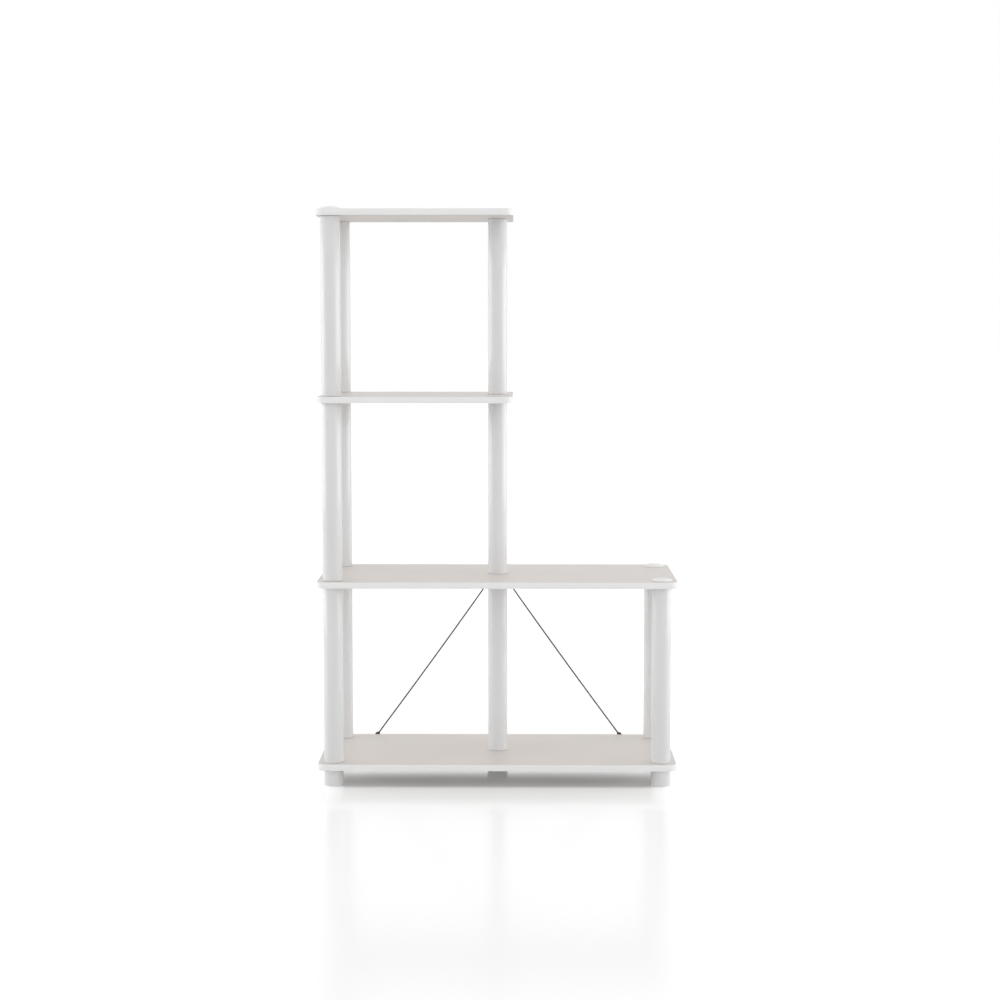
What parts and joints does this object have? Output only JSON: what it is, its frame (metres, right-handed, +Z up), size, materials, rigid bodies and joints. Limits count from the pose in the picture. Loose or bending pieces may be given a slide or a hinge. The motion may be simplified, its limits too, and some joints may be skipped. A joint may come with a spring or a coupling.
{
  "type": "bookcase",
  "caption": "White cube bookcase of laminated boards on hollow posts, with a narrow open tower on one half of a low wide base and wire braces across the back of the base.",
  "frame": {"origin": "on the floor under the centre post, at the middle of the centre foot's sole", "axes": "+X to the right as seen from the front, +Y to the back where the wire braces are, +Z up"},
  "size_m": [0.6, 0.2553, 0.9628],
  "materials": {
    "board_face": "particle board with a satin warm white laminate",
    "edge_band": "white satin edge banding",
    "post": "white semi-gloss extruded tube",
    "cap": "white semi-gloss moulding",
    "foot": "white semi-gloss moulding",
    "fitting": "white moulding, as moulded",
    "brace_wire": "dark steel wire",
    "screw": "black pan-head screw"
  },
  "bodies": {
    "root": {"bottom_shelf": "board_face", "bottom_shelf_edge": "edge_band", "middle_shelf": "board_face", "middle_shelf_edge": "edge_band", "upper_shelf": "board_face", "upper_shelf_edge": "edge_band", "top_shelf": "board_face", "top_shelf_edge": "edge_band", "base_post_front_left": "post", "base_stud_plug_front_left": "fitting", "base_socket_plug_front_left": "fitting", "base_post_back_left": "post", "base_stud_plug_back_left": "fitting", "base_socket_plug_back_left": "fitting", "base_post_centre": "post", "base_stud_plug_centre": "fitting", "base_socket_plug_centre": "fitting", "base_post_front_right": "post", "base_stud_plug_front_right": "fitting", "base_socket_plug_front_right": "fitting", "base_post_back_right": "post", "base_stud_plug_back_right": "fitting", "base_socket_plug_back_right": "fitting", "tower_lower_post_front_left": "post", "tower_lower_stud_plug_front_left": "fitting", "tower_lower_socket_plug_front_left": "fitting", "tower_lower_post_back_left": "post", "tower_lower_stud_plug_back_left": "fitting", "tower_lower_socket_plug_back_left": "fitting", "tower_lower_post_centre": "post", "tower_lower_stud_plug_centre": "fitting", "tower_lower_socket_plug_centre": "fitting", "tower_upper_post_front_left": "post", "tower_upper_stud_plug_front_left": "fitting", "tower_upper_socket_plug_front_left": "fitting", "tower_upper_post_back_left": "post", "tower_upper_stud_plug_back_left": "fitting", "tower_upper_socket_plug_back_left": "fitting", "tower_upper_post_centre": "post", "tower_upper_stud_plug_centre": "fitting", "tower_upper_socket_plug_centre": "fitting", "foot_front_left": "foot", "foot_back_left": "foot", "foot_centre": "foot", "foot_front_right": "foot", "foot_back_right": "foot", "cap_front_left": "cap", "cap_back_left": "cap", "cap_centre": "cap", "cap_front_right": "cap", "cap_back_right": "cap", "brace_wire_left": "brace_wire", "brace_wire_right": "brace_wire", "brace_screw_lower_left": "screw", "brace_screw_lower_right": "screw", "brace_screw_upper": "screw"}
  },
  "joints": []
}
